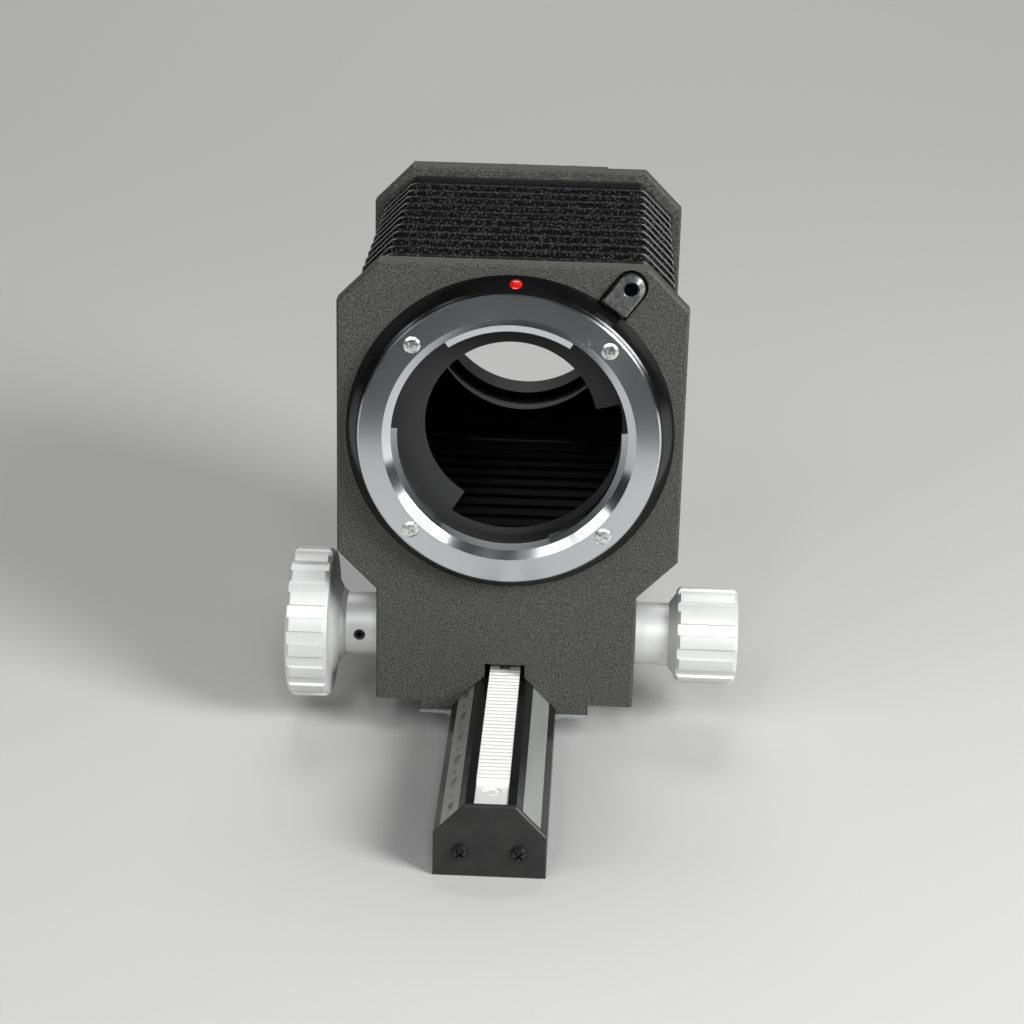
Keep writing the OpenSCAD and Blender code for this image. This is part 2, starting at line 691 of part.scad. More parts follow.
// ---------- lens mount ----------
module lens_mount_base() {
    color("#101012") lens_side() difference() {
        rotate_extrude($fn = 120) polygon([[sleeve_r + seat_play, 0], [base_ring_r, 0],
            [base_top_r, base_rise], [base_top_r - 0.4, base_ring_h],
            [sleeve_r + seat_play, base_ring_h]]);
        for (a = [45:90:315]) polar(bayonet_screw_pcr, a)
            rod(screw_r + seat_play, -1, base_ring_h + 1);
        index_place() rod(dot_r + seat_play, -1, 2);
        polar(lock_pin_x, tongue_angle) rod(lock_pin_r + run_play, -1, base_ring_h + 1);
    }
}
// z runs out of the base ring's slope, from the place of the index dot
module index_place() {
    polar(base_ring_r - 0.6 * base_run, index_angle) translate([0, 0, 0.6 * base_rise])
        rotate([0, atan2(base_rise, base_run), 0]) children();
}
module lens_index_dot() {
    color("#c81414") lens_side() index_place() intersection() {
        rod(dot_r, -0.95, 1);
        translate([0, 0, -2.05]) sphere(r = 2.4);
    }
}
module lens_bayonet() {
    top = base_ring_h + bayonet_t;
    color("#cfd1d3") lens_side() difference() {
        union() {
            rotate_extrude($fn = 120) polygon([[throat_r, -0.4], [sleeve_r, -0.4],
                [sleeve_r, base_ring_h], [bayonet_r - 0.1, base_ring_h],
                [bayonet_r, base_ring_h + 0.2], [bayonet_r, top - 0.35],
                [bayonet_r - 0.35, top], [bayonet_bevel_r, top], [throat_r, top - 1.3]]);
            for (lug = [[59, 64.5], [176, 53], [292, 73]]) rotate([0, 0, lug[0]])
                rotate_extrude(angle = lug[1], $fn = 120)
                    polygon([[lug_r, 1.5], [throat_r + sink, 1.5], [throat_r + sink, top - 1.4],
                        [lug_r, top - 1.55]]);
        }
        for (a = [45:90:315]) polar(bayonet_screw_pcr, a) translate([0, 0, top])
            csk_hole(mount_head_r + 0.05, screw_r + seat_play, 3);
        polar(lock_pin_x, tongue_angle) rod(lock_pin_r + run_play, -1, top + 1);
    }
}
module bayonet_screws() {
    color("#d6d7d8") lens_side() for (a = [45:90:315]) polar(bayonet_screw_pcr, a)
        translate([0, 0, base_ring_h + bayonet_t]) rotate([0, 0, 20])
            csk_screw(mount_head_r, screw_r, 7.5);
}
// C-shaped baffle: wide over the top and the left, narrow below
module light_baffle() {
    y = front_back_y + front_frame_t;
    wide_r = throat_r - 1.2;
    color("#4a4c4d") lens_side(y) translate([0, 0, -0.6]) difference() {
        linear_extrude(0.6) difference() {
            circle(r = boss_r - 0.2, $fn = 120);
            circle(r = baffle_r, $fn = 120);
            intersection() {
                circle(r = wide_r, $fn = 120);
                polygon(concat([[0, 0]], [for (a = [-122:27:13]) [40 * cos(a), 40 * sin(a)]]));
            }
        }
        for (a = baffle_screw_angles()) polar(baffle_screw_r, a) rod(0.65, -1, 2);
    }
}
module baffle_screws() {
    color("#1b1b1d") lens_side(bellows_y0 + 0.6) for (a = baffle_screw_angles())
        polar(baffle_screw_r, a) {
            rod(1.0, -0.5, 0);
            rod(0.6, -sink, 2.4);
        }
}

// ---------- lens release ----------
module tongue_plan(x0, grow, z0, z1) {
    translate([x0, -tongue_w / 2 - grow, z0])
        cube([tongue_reach - x0, tongue_w + 2 * grow, z1 - z0]);
    translate([tongue_reach, 0, 0]) rod(tongue_w / 2 + grow, z0, z1);
}
// The tongue, with an arm that reaches under the mount to the locking pin
module release_tongue() {
    color("#3c3d3e") lens_side() rotate([0, 0, tongue_angle]) difference() {
        tongue_plan(arm_x, 0, -tongue_sunk, tongue_h);
        translate([arm_x - 1, -tongue_w, -arm_top])
            cube([root_x - arm_x + 1, 2 * tongue_w, arm_top + tongue_h + 1]);
        // cone round the nose, bevelled flanks
        translate([tongue_reach, 0, 0]) rotate([0, 0, -90]) rotate_extrude(angle = 180)
            polygon([[1.75, tongue_h], [2.85, tongue_h - 1.1], [4, tongue_h - 1.1],
                [4, tongue_h + 1], [1.75, tongue_h + 1]]);
        for (s = [-1, 1]) translate([tongue_reach - 10, s * tongue_w / 2, tongue_h])
            rotate([45, 0, 0]) cube([20, 0.6, 0.6], center = true);
        translate([tongue_reach, 0, 0]) {
            rod(button_r + seat_play, tongue_h - 1, 5);
            rotate_extrude() polygon([[0, tongue_h - 0.2], [button_r + 0.05, tongue_h - 0.2],
                [button_r + 0.25, tongue_h], [button_r + 0.25, 5], [0, 5]]);
        }
        translate([spring_x, 0, 0]) rod(spring_r + 0.15, -5, tongue_h - 1.2);
        translate([lock_pin_x, 0, 0]) rod(lock_pin_r + seat_play, 0.2 - tongue_sunk, 5);
    }
}
button_r = 1.35;
module release_button() {
    color("#2a3248") lens_side() rotate([0, 0, tongue_angle]) translate([tongue_reach, 0, 0])
        rotate_extrude() polygon([[0, tongue_h - 1], [button_r, tongue_h - 1],
            [button_r, tongue_h - 0.15], [button_r - 0.15, tongue_h], [0, tongue_h]]);
}
module lens_lock_pin() {
    color("#c8cacb") lens_side() polar(lock_pin_x, tongue_angle)
        rod(lock_pin_r, 0.2 - tongue_sunk, base_ring_h + bayonet_t + 0.6);
}
module release_spring() {
    color("#9b9d9e") lens_side() rotate([0, 0, tongue_angle]) translate([spring_x, 0, 0])
        difference() {
            rod(spring_r, -front_plate_t + 0.6, tongue_h - 1.2);
            rod(spring_r - 0.4, -front_plate_t, tongue_h);
        }
}

// ---------- knobs and shaft ----------
// A turned profile with flat flutes across its rim; the lands are land degrees wide
module fluted(profile, rim_r, z0, z1, count, land, turn, depth) {
    half = rim_r * sin(180 / count - land / 2);
    difference() {
        rotate_extrude($fn = 96) polygon(profile);
        for (i = [0:count - 1]) polar(rim_r, turn + i * 360 / count)
            translate([0, 0, z0 - 0.5]) linear_extrude(z1 - z0 + 1)
                polygon([[-depth, 0.35 - half], [1, -half - 0.4], [1, half + 0.4],
                    [-depth, half - 0.35]]);
    }
}
module focus_knob() {
    r = focus_knob_r;
    z0 = knob_x;
    z1 = z0 + focus_neck_len;
    z2 = z1 + focus_cone;
    z3 = z2 + focus_rim_len;
    edge = 0.9;
    color("#d4d6d6") left_side() difference() {
        fluted([[0, z0], [neck_r - 0.3, z0], [neck_r, z0 + 0.3], [neck_r, z1 - 0.6],
            [neck_r + 0.8, z1 + 0.5], [r * 0.69, z2 - 0.15], [r - edge, z2], [r, z2 + edge],
            [r, z3 - edge], [r - edge, z3], [r - 3, z3], [r - 3.6, z3 - 0.6], [0, z3 - 0.6]],
            r, z2, z3, focus_flutes, 8.8, 0, 0.55);
        rod(shaft_r + seat_play, z0 - 1, z3 - 4);
        translate([0, 0, z0 + set_screw_in]) rotate([90, 0, 0]) rod(1.25, 0, neck_r + 1);
    }
}
module set_screw() {
    color("#3a3b3c") left_side() translate([0, 0, knob_x + set_screw_in]) rotate([90, 0, 0])
        difference() {
            rod(1.2, shaft_r + 0.1, neck_r - 0.5);
            translate([0, 0, neck_r - 1.7]) cylinder(r = 0.75, h = 3, $fn = 6);
        }
}
module pinion_shaft() {
    end = knob_x + focus_neck_len + focus_cone + focus_rim_len - 4.3;
    color("#b4b6b8") {
        left_side() rod(shaft_r, -brake_x - sink, end);
        right_side() rod(lock_bush_r - 0.2, brake_x, brake_x + brake_t);
    }
}
module pinion() {
    color("#b08d3c") left_side() translate([0, 0, -pinion_w / 2]) difference() {
        // one tooth points straight down into the rack
        rotate([0, 0, 180]) linear_extrude(pinion_w)
            polygon(to_xy(gear_outline(pinion_teeth, 0.03)));
        translate([0, 0, -1]) cylinder(r = shaft_r + 0.02, h = pinion_w + 2);
    }
}
module lock_knob() {
    r = lock_knob_r;
    z0 = knob_x;
    z1 = z0 + lock_neck_len;
    z2 = z1 + lock_cone;
    z3 = z2 + lock_rim_len;
    edge = 0.7;
    color("#d4d6d6") right_side() difference() {
        fluted([[0, z0], [neck_r - 0.3, z0], [neck_r, z0 + 0.3], [neck_r, z1],
            [r - 1.4, z2 - 0.1], [r - edge, z2], [r, z2 + edge], [r, z3 - edge],
            [r - edge, z3], [r - 2.4, z3], [r - 2.8, z3 - 0.4], [0, z3 - 0.4]],
            r, z2, z3, lock_flutes, 14, 0.8, 0.6);
        rod(stud_r + seat_play, z0 - 1, z3 - 4);
    }
}
module lock_stud() {
    color("#b4b6b8") right_side()
        rod(stud_r, stud_tip_x, knob_x + lock_neck_len + lock_cone + lock_rim_len - 4.3);
}

// ---------- camera mount ----------
module turntable() {
    bore = camera_tube_r + seat_play;
    color("#141416") camera_side() difference() {
        rotate_extrude($fn = 120) polygon([[bore, -rear_plate_t - 0.05],
            [hub_r, -rear_plate_t - 0.05], [hub_r, run_play], [turntable_r, run_play],
            [turntable_r, 4.6], [camera_flange_r + 0.3, turntable_h - 0.4],
            [camera_flange_r + 0.3, turntable_h], [bore, turntable_h]]);
        for (a = [45:90:315]) polar(camera_screw_r, a) rod(screw_r, 3, turntable_h + 1);
        for (a = [30:120:270]) polar(retainer_screw_r, a) rod(0.65, -rear_plate_t - 1, -0.5);
        polar(turntable_r, -90) translate([0, 0, 2.6]) rotate([0, 90, 0])
            rod(1 + seat_play, -1, 1);
    }
}
camera_screw_r = (camera_tube_r + camera_flange_r) / 2 + 0.1;
retainer_screw_r = (camera_tube_r + hub_r) / 2;
module camera_index_dot() {
    color("#c81414") camera_side() polar(turntable_r, -90) translate([0, 0, 2.6])
        rotate([0, 90, 0]) rod(1, -1, 0.1);
}
module turntable_retainer() {
    color("#4a4c4d") camera_side() difference() {
        rod(retainer_r, -rear_plate_t - 0.05 - retainer_t, -rear_plate_t - 0.05);
        rod(camera_tube_r, -20, 5);
        for (a = [30:120:270]) polar(retainer_screw_r, a)
            translate([0, 0, -rear_plate_t - 0.05 - retainer_t]) rotate([180, 0, 0])
                csk_hole(1.15, 0.65, 2);
    }
}
module retainer_screws() {
    color("#9b9d9e") camera_side() for (a = [30:120:270]) polar(retainer_screw_r, a)
        translate([0, 0, -rear_plate_t - 0.05 - retainer_t]) rotate([180, 0, 0]) difference() {
            rotate_extrude() polygon([[0, -4], [0.6, -4], [0.6, -0.5], [1.1, 0], [0, 0]]);
            translate([-2, -0.15, -0.3]) cube([4, 0.3, 1]);
        }
}
module camera_bayonet() {
    z1 = turntable_h;
    z2 = z1 + camera_flange_t;
    z3 = z2 + camera_tube_len;
    color("#cfd1d3") camera_side() difference() {
        union() {
            rotate_extrude($fn = 120) polygon([[camera_bore_r, z1 - 3], [camera_tube_r, z1 - 3],
                [camera_tube_r, z1], [camera_flange_r, z1], [camera_flange_r, z2 - 0.3],
                [camera_flange_r - 0.3, z2], [camera_tube_r, z2], [camera_tube_r, z3 - 0.3],
                [camera_tube_r - 0.3, z3], [camera_bore_r + 0.4, z3],
                [camera_bore_r, z3 - 0.5]]);
            for (a = [5:120:245]) rotate([0, 0, a]) rotate_extrude(angle = 52, $fn = 120)
                polygon([[camera_tube_r - sink, z3 - camera_lug_t], [camera_tube_r + 1.2,
                    z3 - camera_lug_t], [camera_tube_r + 1.2, z3 - 0.3],
                    [camera_tube_r + 0.9, z3 - 0.01], [camera_tube_r - 0.5, z3 - 0.01]]);
        }
        for (a = [45:90:315]) polar(camera_screw_r, a) translate([0, 0, z2])
            csk_hole(1.65, screw_r + seat_play, 3);
    }
}
module camera_bayonet_screws() {
    color("#d6d7d8") camera_side() for (a = [45:90:315]) polar(camera_screw_r, a)
        translate([0, 0, turntable_h + camera_flange_t]) csk_screw(1.6, screw_r - 0.05, 5.5);
}

rail();
rack();
rack_screws();
scale_plate_left();
scale_plate_right();
front_end_cap();
rear_end_cap();
end_cap_screws();
rear_standard();
foot_screws();
tripod_bush();
bellows();
bellows_rear_frame();
lock_cover();
lock_cover_screws();
front_standard();
lens_mount_base();
lens_bayonet();
bayonet_screws();
lens_index_dot();
light_baffle();
baffle_screws();
bellows_front_frame();
gib_plates();
gib_screws();
shaft_bushes();
lock_bush();
focus_knob();
set_screw();
pinion_shaft();
pinion();
lock_knob();
lock_stud();
release_tongue();
release_button();
lens_lock_pin();
release_spring();
turntable();
turntable_retainer();
retainer_screws();
camera_bayonet();
camera_bayonet_screws();
camera_index_dot();
mount_lock_lever();
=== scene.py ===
"""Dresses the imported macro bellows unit: materials, pleated bellows, scale figures, stage and camera."""
import json
import math
import random

import bmesh
import bpy
from mathutils import Matrix, Vector


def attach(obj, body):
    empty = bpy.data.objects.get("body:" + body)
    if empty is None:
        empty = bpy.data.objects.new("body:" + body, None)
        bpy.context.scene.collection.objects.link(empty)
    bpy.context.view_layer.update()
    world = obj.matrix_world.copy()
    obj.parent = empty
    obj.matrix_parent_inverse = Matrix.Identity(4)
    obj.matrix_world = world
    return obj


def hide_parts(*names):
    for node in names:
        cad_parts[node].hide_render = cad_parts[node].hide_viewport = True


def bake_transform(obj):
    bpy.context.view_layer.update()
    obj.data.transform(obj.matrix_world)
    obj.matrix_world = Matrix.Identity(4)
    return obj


MM = 0.001

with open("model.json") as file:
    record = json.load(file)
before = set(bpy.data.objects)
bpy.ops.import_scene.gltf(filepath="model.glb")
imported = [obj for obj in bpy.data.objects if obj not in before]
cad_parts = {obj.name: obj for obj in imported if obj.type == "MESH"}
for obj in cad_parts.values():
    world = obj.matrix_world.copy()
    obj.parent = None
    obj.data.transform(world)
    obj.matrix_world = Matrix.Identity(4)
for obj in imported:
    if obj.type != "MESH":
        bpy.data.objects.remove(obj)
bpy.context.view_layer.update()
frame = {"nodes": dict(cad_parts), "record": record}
NODES = frame["nodes"]

LENS_Z = 69.6            # height of the lens axis, in millimetres
# axes of the part and places round them, in metres
LENS_AXIS = (0, 0, LENS_Z * MM)
KNOB_AXIS = (0, -0.0745, 0.021075)
BORE_R = 0.0285          # the standards' bores are plain inside it
BEVEL_R = 0.02545        # outer radius of the bevel at the lens mount's throat
CAMERA_BORE_R = 0.0213   # the camera bayonet is black inside it
CAMERA_FRONT_Y = 0.0035  # and in front of this

# the bellows, in millimetres
BELLOWS_Y0 = -82.5       # at the front frame
BELLOWS_Y1 = -8.5        # at the rear frame
BELLOWS_HALF = 32.6      # half the width over the crests
BELLOWS_CORNER = 6.5     # cut off the corners at the crests
BELLOWS_WALL = 0.5
FOLD_DEPTH = 5.4
FLANK_BEND = 0.045       # each flank bends both ways from a straight line, by this share of its depth
WANDER = 0.06            # the folds wander along the bellows by about this much
PLEATS = 12
FLANK_RINGS = 7          # of points, for each flank of a fold
POINTS_AROUND = 200

# the slanted plate on the rail's left side, in millimetres
RAIL_HALF_W = 10.8
RAIL_SIDE_H = 8.9
SLANT_RUN = 5.9
SLANT_RISE = 6.2
PRINT_OUT = 0.03         # the print stands this far off the plate
FIGURE_SIZE = 2.3
DOT_RADIUS = 0.33
DOT_ACROSS = -0.2

# the paper sweep and the lamps' aim, in metres
PAPER_HALF_W = 2.5
PAPER_FRONT = -0.29
PAPER_TOP = 2.4
BEND_START = 1.6
BEND_R = 0.8
BEND_STEPS = 12
PART_MIDDLE = (0, -0.06, 0.04)


# ---------------------------------------------------------------- materials
class Shader:
    """A Principled material, and short calls for the nodes that feed it."""

    def __init__(self, name, color, rough, metal=0.0, **sockets):
        self.material = bpy.data.materials.new(name)
        self.material.use_nodes = True
        self.tree = self.material.node_tree
        self.bsdf = self.tree.nodes["Principled BSDF"]
        self.bsdf.inputs["Base Color"].default_value = (*color, 1)
        self.bsdf.inputs["Roughness"].default_value = rough
        self.bsdf.inputs["Metallic"].default_value = metal
        for key, value in sockets.items():
            self.bsdf.inputs[key.replace("_", " ")].default_value = value
        self.place = self.node("ShaderNodeTexCoord").outputs["Object"]

    def node(self, kind, **fields):
        made = self.tree.nodes.new(kind)
        for key, value in fields.items():
            setattr(made, key, value)
        return made

    def link(self, source, target):
        self.tree.links.new(source, target)

    def feed(self, socket, source):
        self.link(source, self.bsdf.inputs[socket])

    def math(self, operation, *values):
        made = self.node("ShaderNodeMath", operation=operation)
        for socket, value in zip(made.inputs, values):
            if isinstance(value, (int, float)):
                socket.default_value = value
            else:
                self.link(value, socket)
        return made.outputs[0]

    def stretched(self, scale, shift=(0, 0, 0)):
        made = self.node("ShaderNodeMapping")
        made.inputs["Location"].default_value = shift
        made.inputs["Scale"].default_value = scale
        self.link(self.place, made.inputs["Vector"])
        return made.outputs["Vector"]

    def noise(self, scale, detail=2.0, rough=0.5, at=None):
        made = self.node("ShaderNodeTexNoise")
        made.inputs["Scale"].default_value = scale
        made.inputs["Detail"].default_value = detail
        made.inputs["Roughness"].default_value = rough
        self.link(at or self.place, made.inputs["Vector"])
        return made.outputs["Fac"]

    def cells(self, scale, randomness=1.0):
        """Distance from the middle of the nearest cell."""
        made = self.node("ShaderNodeTexVoronoi")
        made.inputs["Scale"].default_value = scale
        made.inputs["Randomness"].default_value = randomness
        self.link(self.place, made.inputs["Vector"])
        return made.outputs["Distance"]

    def ramp(self, source, low, high, start, end):
        """From low to high, as the source goes from start to end."""
        made = self.node("ShaderNodeMapRange")
        for key, value in (("From Min", start), ("From Max", end), ("To Min", low), ("To Max", high)):
            made.inputs[key].default_value = value
        self.link(source, made.inputs["Value"])
        return made.outputs["Result"]

    def tint(self, source, dark, light, start=0.3, end=0.7):
        """Base colour from dark to light, as the source goes from start to end."""
        made = self.node("ShaderNodeValToRGB")
        made.color_ramp.elements[0].position = start
        made.color_ramp.elements[0].color = (*dark, 1)
        made.color_ramp.elements[1].position = end
        made.color_ramp.elements[1].color = (*light, 1)
        self.link(source, made.inputs["Fac"])
        self.feed("Base Color", made.outputs["Color"])

    def bump(self, height, distance, strength=1.0):
        made = self.node("ShaderNodeBump")
        made.inputs["Distance"].default_value = distance
        made.inputs["Strength"].default_value = strength
        self.link(height, made.inputs["Height"])
        self.feed("Normal", made.outputs["Normal"])

    def from_axis(self, center, axis):
        """The offset from an axis through center, in metres; axis is 0 for X or 1 for Y."""
        keep = [1.0, 1.0, 1.0]
        keep[axis] = 0.0
        return self.stretched(keep, [-c * k for c, k in zip(center, keep)])

    def radius(self, center, axis):
        """Distance from an axis."""
        made = self.node("ShaderNodeVectorMath", operation="LENGTH")
        self.link(self.from_axis(center, axis), made.inputs[0])
        return made.outputs["Value"]

    def rings(self, center, axis, scale):
        """Turning marks: noise that depends on the distance from the axis alone."""
        made = self.node("ShaderNodeTexNoise", noise_dimensions="1D")
        made.inputs["Scale"].default_value = scale
        made.inputs["Detail"].default_value = 3
        self.link(self.radius(center, axis), made.inputs["W"])
        return made.outputs["Fac"]

    def turned(self, center, axis, amount):
        """Anisotropic gloss as a lathe leaves it: highlights stretch away from the axis."""
        unit = self.node("ShaderNodeVectorMath", operation="NORMALIZE")
        self.link(self.from_axis(center, axis), unit.inputs[0])
        world = self.node("ShaderNodeVectorTransform", vector_type="VECTOR", convert_from="OBJECT",
                          convert_to="WORLD")
        self.link(unit.outputs["Vector"], world.inputs["Vector"])
        self.feed("Tangent", world.outputs["Vector"])
        self.bsdf.inputs["Anisotropic"].default_value = amount

    def along(self, axis):
        """The place along one axis, in metres."""
        made = self.node("ShaderNodeSeparateXYZ")
        self.link(self.place, made.inputs[0])
        return made.outputs[axis]

    def stored(self, name):
        """A number kept at the mesh's points, which stays with them at every pose."""
        made = self.node("ShaderNodeAttribute", attribute_name=name)
        return made.outputs["Fac"]


def crinkle_paint():
    s = Shader("crinkle_paint", (0.05, 0.05, 0.048), 0.6, Specular_IOR_Level=0.4)
    grain = s.noise(2600, 2.0, 0.6)
    fine = s.cells(3000)
    both = s.math("ADD", grain, s.math("MULTIPLY", fine, 0.25))
    # the bores behind the mounts are dark and plain, without the crinkle grain
    both = s.math("MULTIPLY", both, s.math("GREATER_THAN", s.radius(LENS_AXIS, 1), BORE_R))
    s.tint(both, (0.020, 0.021, 0.0195), (0.135, 0.137, 0.130), 0.45, 0.95)
    s.feed("Roughness", s.ramp(grain, 0.45, 0.7, 0.3, 0.7))
    s.bump(both, 0.00006, 0.6)
    return s.material


def bellows_leather():
    """Pebbled leather with painted glints on the pebbles and a thin painted highlight along the folds'
    crests, brightest on the cut corners.
    """
    s = Shader("bellows_leather", (0.004, 0.004, 0.0045), 0.34, Specular_IOR_Level=0.08)
    pebbles = s.cells(1600, 0.8)
    off_crest = s.math("ABSOLUTE", s.math("SUBTRACT", s.math("FRACT", s.stored("fold")), 0.5))
    crest = s.ramp(off_crest, 1.0, 0.0, 0.006, 0.022)
    aside = s.math("ABSOLUTE", s.along("X"))
    above = s.math("ABSOLUTE", s.math("SUBTRACT", s.along("Z"), LENS_Z * MM))
    corner_at = (2 * BELLOWS_HALF - BELLOWS_CORNER) * MM
    corner = s.ramp(s.math("ADD", aside, above), 0.0, 1.0, corner_at - 0.001, corner_at - 0.0004)
    # painted highlight: a thin light line along each fold's crest, far brighter on the cut corners
    crest_highlight = s.math("MULTIPLY", crest, s.math("ADD", 0.012, s.math("MULTIPLY", corner, 0.24)))
    # painted glints: the leather is lighter at each pebble's middle than between the pebbles
    leather = s.ramp(pebbles, 0.046, 0.0012, 0.16, 0.46)
    s.tint(s.math("ADD", leather, crest_highlight), (0.0, 0.0, 0.0), (0.25, 0.25, 0.255), 0.0, 0.25)
    s.feed("Roughness", s.ramp(pebbles, 0.24, 0.5, 0.1, 0.4))
    s.bump(s.math("SUBTRACT", 0.0, pebbles), 0.00012, 0.8)
    return s.material


def bellows_lining():
    """The bellows' inside: smooth black cloth."""
    s = Shader("bellows_lining", (0.002, 0.002, 0.002), 0.5, Specular_IOR_Level=0.1)
    weave = s.noise(3000, 2.0)
    s.tint(weave, (0.0015, 0.0015, 0.0015), (0.003, 0.003, 0.003))
    s.bump(weave, 0.00002, 0.5)
    return s.material


def chrome():
    """A turned face round a polished bevel at the throat."""
    s = Shader("chrome", (0.71, 0.735, 0.75), 0.2, 1.0)
    anisotropy = 0.8
    # the whole ring takes it where a linked value is dropped
    s.turned(LENS_AXIS, 1, anisotropy)
    face = s.math("GREATER_THAN", s.radius(LENS_AXIS, 1), BEVEL_R)
    s.feed("Anisotropic", s.math("MULTIPLY", face, anisotropy))
    marks = s.ramp(s.rings(LENS_AXIS, 1, 9000), 0.04, 0.06, 0.35, 0.65)
    s.feed("Roughness", s.math("ADD", 0.15, s.math("MULTIPLY", face, marks)))
    return s.material


def camera_chrome():
    """Chrome that is black inside its bore and at its front end."""
    s = Shader("camera_chrome", (0.62, 0.64, 0.65), 0.2, 1.0)
    inside = s.math("LESS_THAN", s.radius(LENS_AXIS, 1), CAMERA_BORE_R)
    front = s.math("LESS_THAN", s.along("Y"), CAMERA_FRONT_Y)
    black = s.math("MAXIMUM", inside, front)
    s.tint(black, (0.62, 0.64, 0.65), (0.02, 0.02, 0.02), 0.0, 1.0)
    s.feed("Metallic", s.math("SUBTRACT", 1.0, black))
    s.feed("Roughness", s.ramp(black, 0.2, 0.6, 0.0, 1.0))
    return s.material


def satin_aluminium():
    s = Shader("satin_aluminium", (0.79, 0.80, 0.79), 0.5, 0.45)
    s.tint(s.noise(300, 3.0), (0.77, 0.78, 0.77), (0.81, 0.82, 0.81))
    s.feed("Roughness", s.ramp(s.noise(9000, 2.0), 0.48, 0.55, 0.3, 0.7))
    s.bump(s.rings(KNOB_AXIS, 0, 6000), 0.000003, 0.3)
    return s.material


def black_anodised():
    s = Shader("black_anodised", (0.006, 0.006, 0.0065), 0.2)
    drawn = s.noise(2200, 3.0, 0.6, s.stretched((1, 0.012, 1)))
    s.tint(drawn, (0.004, 0.004, 0.0045), (0.009, 0.009, 0.009))
    s.feed("Roughness", s.ramp(drawn, 0.16, 0.26, 0.3, 0.7))
    s.bump(drawn, 0.000006, 0.5)
    return s.material


def black_satin():
    s = Shader("black_satin", (0.022, 0.022, 0.022), 0.48)
    fine = s.noise(8000, 2.0)
    s.tint(s.noise(250, 3.0), (0.011, 0.011, 0.011), (0.019, 0.019, 0.018))
    s.feed("Roughness", s.ramp(fine, 0.42, 0.56, 0.3, 0.7))
    s.bump(fine, 0.00001, 0.4)
    return s.material


def frame_black():
    s = Shader("frame_black", (0.008, 0.008, 0.008), 0.35, Specular_IOR_Level=0.3)
    fine = s.noise(2400, 3.0, 0.6)
    s.tint(fine, (0.005, 0.005, 0.0055), (0.016, 0.016, 0.0155))
    s.feed("Roughness", s.ramp(fine, 0.26, 0.4, 0.3, 0.7))
    s.bump(fine, 0.00004, 0.5)
    return s.material


def gloss_black():
    s = Shader("gloss_black", (0.005, 0.005, 0.005), 0.18)
    s.tint(s.noise(350, 3.0), (0.004, 0.004, 0.004), (0.006, 0.006, 0.006))
    s.feed("Roughness", s.ramp(s.noise(900, 3.0), 0.15, 0.21, 0.35, 0.7))
    s.bump(s.rings(LENS_AXIS, 1, 7000), 0.000002, 0.4)
    return s.material


def gloss_black_steel():
    s = Shader("gloss_black_steel", (0.43, 0.44, 0.43), 0.3, 0.95)
    s.tint(s.noise(600, 3.0), (0.40, 0.41, 0.40), (0.46, 0.47, 0.46))
    s.feed("Roughness", s.ramp(s.noise(1500, 3.0), 0.26, 0.36, 0.35, 0.7))
    return s.material


def nickel():
    s = Shader("nickel", (0.93, 0.93, 0.92), 0.38, 0.3)
    blast = s.noise(5000, 2.0)
    s.tint(blast, (0.91, 0.91, 0.90), (0.95, 0.95, 0.94))
    s.feed("Roughness", s.ramp(blast, 0.34, 0.42, 0.3, 0.7))
    return s.material


def plain_metal(name, color, rough, metal=1.0):
    s = Shader(name, color, rough, metal)
    mottle = s.noise(900, 3.0)
    s.tint(mottle, [c * 0.92 for c in color], [min(1, c * 1.06) for c in color])
    s.feed("Roughness", s.ramp(mottle, rough - 0.03, rough + 0.05, 0.3, 0.7))
    s.bump(s.noise(6000, 2.0), 0.000002, 0.5)
    return s.material


def scale_grey():
    s = Shader("scale_grey", (0.42, 0.43, 0.42), 0.36, 0.5)
    drawn = s.noise(2600, 3.0, 0.6, s.stretched((1, 0.02, 1)))
    s.tint(drawn, (0.39, 0.40, 0.385), (0.46, 0.47, 0.455))
    s.feed("Roughness", s.ramp(drawn, 0.3, 0.45, 0.3, 0.7))
    s.bump(drawn, 0.000005, 0.5)
    return s.material


def matt_grey():
    s = Shader("matt_grey", (0.035, 0.036, 0.035), 0.6)
    fine = s.noise(5000, 3.0)
    s.tint(fine, (0.019, 0.020, 0.019), (0.028, 0.029, 0.028))
    s.feed("Roughness", s.ramp(fine, 0.5, 0.7, 0.3, 0.7))
    s.bump(fine, 0.00002, 0.4)
    return s.material


def red_enamel():
    s = Shader("red_enamel", (0.62, 0.012, 0.012), 0.08, Coat_Weight=0.6, Coat_Roughness=0.04)
    s.tint(s.noise(800, 2.0), (0.50, 0.008, 0.008), (0.72, 0.018, 0.015))
    s.bump(s.noise(900, 1.0), 0.00003, 0.3)
    return s.material


def blued_steel():
    s = Shader("blued_steel", (0.05, 0.06, 0.12), 0.14, 1.0)
    s.tint(s.noise(700, 3.0), (0.035, 0.045, 0.10), (0.09, 0.10, 0.17))
    s.feed("Roughness", s.ramp(s.noise(2500, 2.0), 0.10, 0.20, 0.3, 0.7))
    return s.material


MATERIALS = {
    "crinkle_paint": crinkle_paint(),
    "bellows_leather": bellows_leather(),
    "bellows_lining": bellows_lining(),
    "chrome": chrome(),
    "satin_aluminium": satin_aluminium(),
    "black_anodised": black_anodised(),
    "black_satin": black_satin(),
    "frame_black": frame_black(),
    "gloss_black": gloss_black(),
    "gloss_black_steel": gloss_black_steel(),
    "nickel": nickel(),
    "plain_steel": plain_metal("plain_steel", (0.62, 0.62, 0.61), 0.28),
    "black_steel": plain_metal("black_steel", (0.035, 0.035, 0.036), 0.25, 0.6),
    "bronze": plain_metal("bronze", (0.55, 0.40, 0.20), 0.32),
    "scale_grey": scale_grey(),
    "matt_grey": matt_grey(),
    "red_enamel": red_enamel(),
    "blued_steel": blued_steel(),
}
SCREW_STEEL = plain_metal("screw_steel", (0.85, 0.86, 0.85), 0.25, 0.9)
